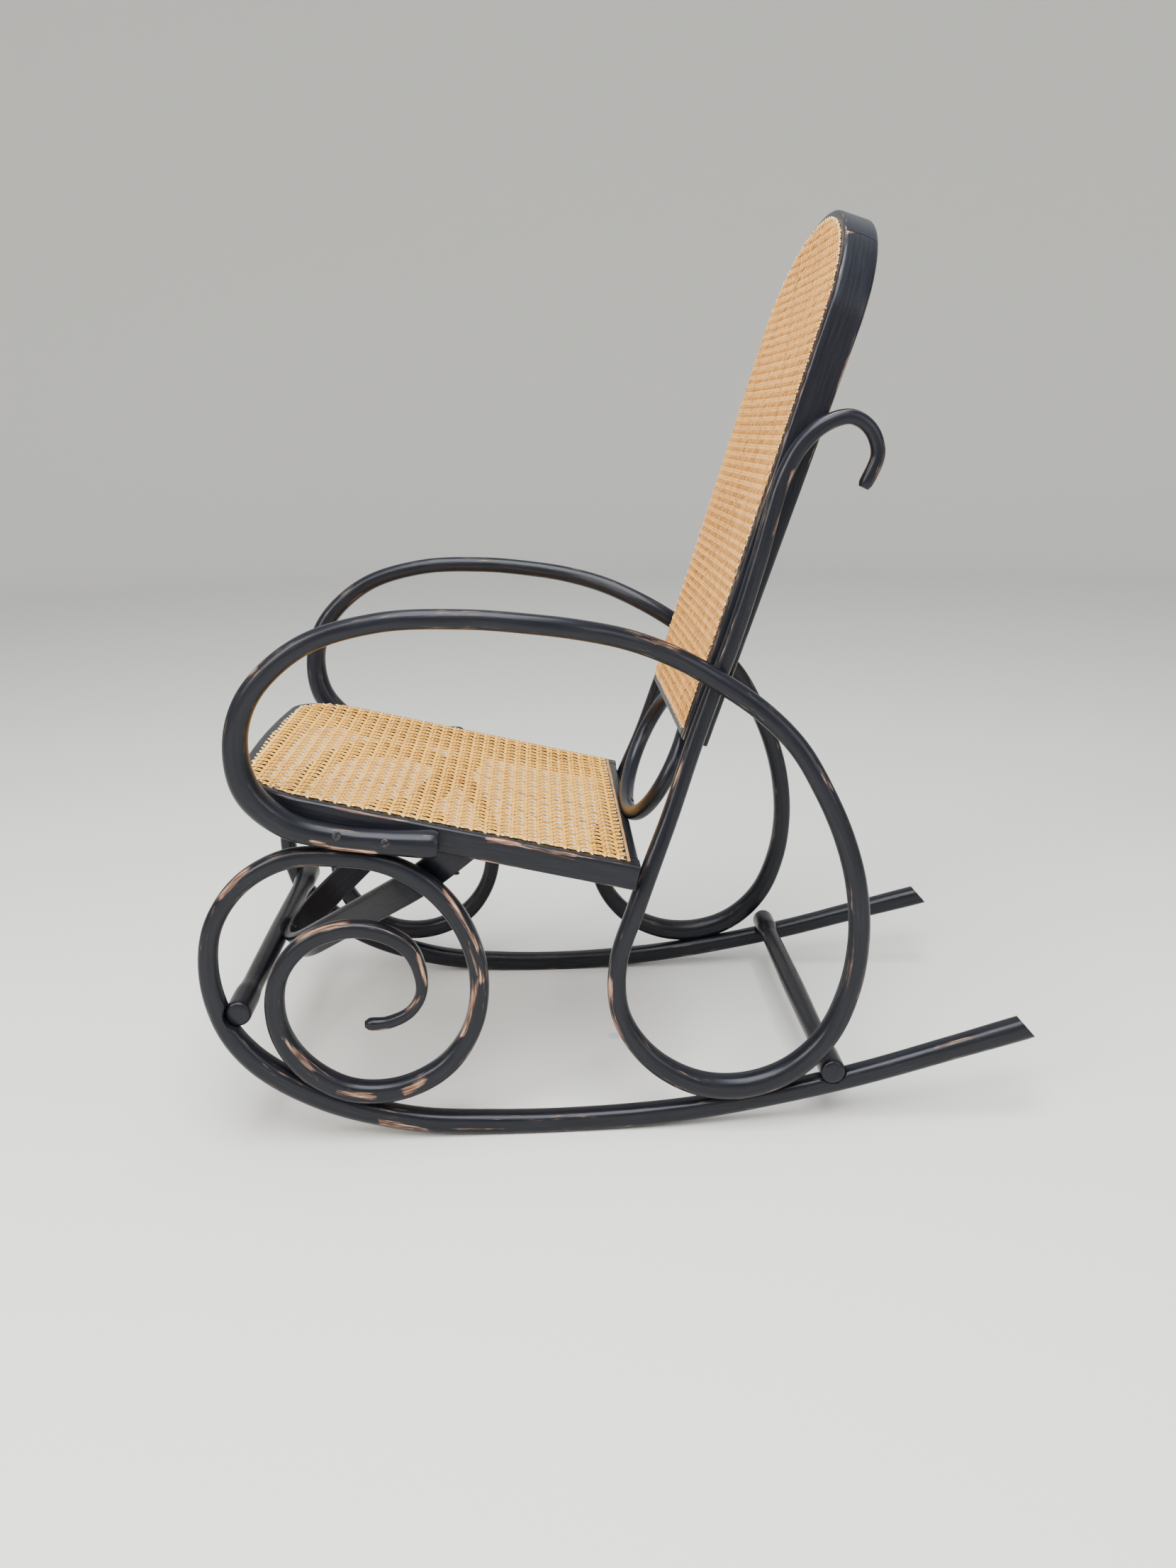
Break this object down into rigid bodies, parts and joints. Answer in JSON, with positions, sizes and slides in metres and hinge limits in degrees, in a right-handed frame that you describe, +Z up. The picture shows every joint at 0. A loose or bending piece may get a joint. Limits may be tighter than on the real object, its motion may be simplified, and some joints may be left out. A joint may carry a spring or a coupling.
{
  "type": "rocking chair",
  "caption": "Bentwood rocking chair with scrolled rockers, looped arms, an oval ring and a caned seat and tall caned back.",
  "frame": {"origin": "on the floor, at the centre of the chair's footprint box", "axes": "+Z up, +Y towards the chair's back, +X towards the sitter's left"},
  "size_m": [0.6038, 1.0031, 1.0788],
  "materials": {
    "bentwood": "worn black lacquer with bare edges",
    "cane": "natural split cane, open weave",
    "reed": "natural reed",
    "screw": "dark, worn"
  },
  "bodies": {
    "root": {"arm_post_left": "bentwood", "arm_post_right": "bentwood", "arm_screw_front_left": "screw", "arm_screw_front_right": "screw", "arm_screw_rear_left": "screw", "arm_screw_rear_right": "screw", "back_bottom_rail": "bentwood", "back_cane_panel": "cane", "back_cane_spline": "reed", "back_dowel_left": "reed", "back_dowel_right": "reed", "back_frame_arch": "bentwood", "brace_screw_front": "screw", "brace_screw_rear_left": "screw", "brace_screw_rear_right": "screw", "crossing_screw_left": "screw", "crossing_screw_right": "screw", "front_stretcher": "bentwood", "front_stretcher_screw_left": "screw", "front_stretcher_screw_right": "screw", "loop_foot_screw_left": "screw", "loop_foot_screw_right": "screw", "oval_ring": "bentwood", "post_screw_lower_left": "screw", "post_screw_lower_right": "screw", "post_screw_upper_left": "screw", "post_screw_upper_right": "screw", "rear_stretcher": "bentwood", "rear_stretcher_screw_left": "screw", "rear_stretcher_screw_right": "screw", "ring_screw_bottom": "screw", "ring_screw_top": "screw", "rocker_scroll_left": "bentwood", "rocker_scroll_right": "bentwood", "scroll_foot_screw_left": "screw", "scroll_foot_screw_right": "screw", "scroll_top_screw_left": "screw", "scroll_top_screw_right": "screw", "seat_bolt_left": "screw", "seat_bolt_right": "screw", "seat_brace": "bentwood", "seat_cane_panel": "cane", "seat_cane_spline": "reed", "seat_dowel_left": "reed", "seat_dowel_right": "reed", "seat_frame_hoop": "bentwood", "seat_rear_rail": "bentwood"}
  },
  "joints": []
}
